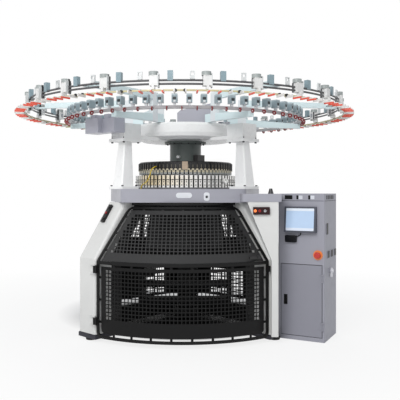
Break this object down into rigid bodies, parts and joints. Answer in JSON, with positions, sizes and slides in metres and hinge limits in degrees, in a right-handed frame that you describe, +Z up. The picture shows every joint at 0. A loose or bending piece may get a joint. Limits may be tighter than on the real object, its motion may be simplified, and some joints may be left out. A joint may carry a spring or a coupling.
{
  "type": "circular knitting machine",
  "caption": "Double-jersey circular knitting machine: feeder rings over a needle cylinder on a faceted bed, with slanting leg casings, a curved perforated gate and a control cabinet.",
  "frame": {"origin": "bottom of the machine's overall box, under the cylinder axis, on the floor", "axes": "+Z up, -Y towards the gate at the front, +X towards the cabinet"},
  "size_m": [3.2392, 3.2392, 2.15],
  "materials": {
    "bed_enamel": "satin",
    "leg_enamel": "satin",
    "crown_enamel": "semi gloss",
    "arm_enamel": "satin",
    "cabinet_enamel": "satin",
    "drum_enamel": "satin",
    "black_enamel": "satin",
    "upper_sheet_enamel": "satin",
    "red_trim": "satin",
    "ground_steel": "ground",
    "dark_steel": "oiled",
    "cast_grey": "painted",
    "feeder_housing": "satin",
    "head_white": "satin",
    "black_plastic": "satin",
    "screen_plastic": "gloss",
    "yellow_plastic": "gloss",
    "red_plastic": "gloss",
    "orange_plastic": "gloss",
    "grey_plastic": "satin",
    "rubber_black": "matte"
  },
  "bodies": {
    "machine": {"base_frame": "cast_grey", "bed_plate": "bed_enamel", "button_box_left": "grey_plastic", "button_box_right": "grey_plastic", "cabinet_shell": "cabinet_enamel", "cable_duct": "bed_enamel", "card_reader": "grey_plastic", "column_front_left": "crown_enamel", "column_front_right": "crown_enamel", "column_rear": "crown_enamel", "control_box": "crown_enamel", "crown": "crown_enamel", "cylinder_cam_ring": "ground_steel", "dial_cam_ring": "dark_steel", "dial_drum": "drum_enamel", "drive_motor": "cast_grey", "feeder_arm_1": "arm_enamel", "feeder_arm_2": "arm_enamel", "feeder_arm_3": "arm_enamel", "feeder_arm_4": "arm_enamel", "feeder_arm_5": "arm_enamel", "feeder_arm_6": "arm_enamel", "feeder_drive_box": "crown_enamel", "frame_bolts": "dark_steel", "gate_stop_rail": "black_enamel", "guard_left": "upper_sheet_enamel", "guard_right": "upper_sheet_enamel", "guide_ring": "red_trim", "inner_feeder_ring": "feeder_housing", "leg_front_left": "leg_enamel", "leg_front_right": "leg_enamel", "leg_rear": "leg_enamel", "oil_hose": "black_plastic", "outer_feeder_ring": "head_white", "rubber_feet": "rubber_black", "side_panel": "leg_enamel", "stop_collar": "yellow_plastic", "touch_screen": "screen_plastic"},
    "cylinder_group": {"needle_cylinder": "ground_steel", "main_gear": "dark_steel", "takedown_frame": "leg_enamel"},
    "dial_group": {"dial": "ground_steel"},
    "front_roller": {"takedown_roller_front": "rubber_black"},
    "rear_roller": {"takedown_roller_rear": "rubber_black"},
    "winder": {"winding_roller": "ground_steel"},
    "pinion": {"motor_pinion": "dark_steel"},
    "pulley": {"feeder_pulley": "ground_steel"},
    "gate": {"gate_frame": "black_enamel", "gate_mesh_lower": "black_enamel", "gate_mesh_upper": "upper_sheet_enamel"},
    "latch": {"gate_latch": "ground_steel"},
    "door": {"cabinet_door": "cabinet_enamel"},
    "isolator": {"isolator_lever": "head_white"},
    "stop": {"emergency_stop": "red_plastic"},
    "button_left_1": {"push_button_left_1": "red_plastic"},
    "button_left_2": {"push_button_left_2": "black_plastic"},
    "button_left_3": {"push_button_left_3": "orange_plastic"},
    "button_right_1": {"push_button_right_1": "orange_plastic"},
    "button_right_2": {"push_button_right_2": "red_plastic"},
    "button_right_3": {"push_button_right_3": "grey_plastic"}
  },
  "joints": [
    {"name": "cylinder_turn", "type": "hinge", "parent": "machine", "child": "cylinder_group", "pos_m": [0, 0, 1.2], "axis": [0, 0, 1], "continuous": true},
    {"name": "dial_turn", "type": "hinge", "parent": "machine", "child": "dial_group", "pos_m": [0, 0, 1.6], "axis": [0, 0, 1], "continuous": true},
    {"name": "front_roller_turn", "type": "hinge", "parent": "cylinder_group", "child": "front_roller", "pos_m": [0, -0.047, 0.565], "axis": [1, 0, 0], "continuous": true},
    {"name": "rear_roller_turn", "type": "hinge", "parent": "cylinder_group", "child": "rear_roller", "pos_m": [0, 0.047, 0.565], "axis": [1, 0, 0], "continuous": true},
    {"name": "winder_turn", "type": "hinge", "parent": "cylinder_group", "child": "winder", "pos_m": [0, 0, 0.33], "axis": [1, 0, 0], "continuous": true},
    {"name": "pinion_turn", "type": "hinge", "parent": "machine", "child": "pinion", "pos_m": [0.56382, 0.20521, 1.1], "axis": [0, 0, 1], "continuous": true},
    {"name": "pulley_turn", "type": "hinge", "parent": "machine", "child": "pulley", "pos_m": [0.37525, -0.19953, 1.89], "axis": [0, 0, 1], "continuous": true},
    {"name": "gate_hinge", "type": "hinge", "parent": "machine", "child": "gate", "pos_m": [-0.73012, -0.97458, 0.4], "axis": [0, 0, -1], "range_deg": [0, 100]},
    {"name": "latch_pivot", "type": "hinge", "parent": "gate", "child": "latch", "pos_m": [0.61805, -1.0286, 0.712], "axis": [-0.515, 0.8572, 0], "range_deg": [0, 60]},
    {"name": "door_hinge", "type": "hinge", "parent": "machine", "child": "door", "pos_m": [1.15124, -0.98717, 0.33], "axis": [0, 0, 1], "range_deg": [0, 110]},
    {"name": "isolator_pivot", "type": "hinge", "parent": "machine", "child": "isolator", "pos_m": [1.24491, -0.84298, 0.578], "axis": [0.891, -0.454, 0], "range_deg": [0, 90]},
    {"name": "stop_press", "type": "slide", "parent": "machine", "child": "stop", "axis": [0.454, 0.891, 0], "range_m": [0, 0.005]},
    {"name": "button_right_1_press", "type": "slide", "parent": "machine", "child": "button_right_1", "axis": [0, 1, 0], "range_m": [0, 0.003], "stiffness_N_per_m": 400},
    {"name": "button_left_1_press", "type": "slide", "parent": "machine", "child": "button_left_1", "axis": [0.5547, 0.6075, -0.5686], "range_m": [0, 0.003], "stiffness_N_per_m": 400},
    {"name": "button_right_2_press", "type": "slide", "parent": "machine", "child": "button_right_2", "axis": [0, 1, 0], "range_m": [0, 0.003], "stiffness_N_per_m": 400},
    {"name": "button_left_2_press", "type": "slide", "parent": "machine", "child": "button_left_2", "axis": [0.5547, 0.6075, -0.5686], "range_m": [0, 0.003], "stiffness_N_per_m": 400},
    {"name": "button_right_3_press", "type": "slide", "parent": "machine", "child": "button_right_3", "axis": [0, 1, 0], "range_m": [0, 0.003], "stiffness_N_per_m": 400},
    {"name": "button_left_3_press", "type": "slide", "parent": "machine", "child": "button_left_3", "axis": [0.5547, 0.6075, -0.5686], "range_m": [0, 0.003], "stiffness_N_per_m": 400}
  ],
  "couplings": [
    {"joint": "dial_turn", "follows": "cylinder_turn", "ratio": 1},
    {"joint": "pinion_turn", "follows": "cylinder_turn", "ratio": -5},
    {"joint": "pulley_turn", "follows": "cylinder_turn", "ratio": 2},
    {"joint": "front_roller_turn", "follows": "cylinder_turn", "ratio": -0.5},
    {"joint": "rear_roller_turn", "follows": "cylinder_turn", "ratio": 0.5},
    {"joint": "winder_turn", "follows": "cylinder_turn", "ratio": 0.6}
  ]
}
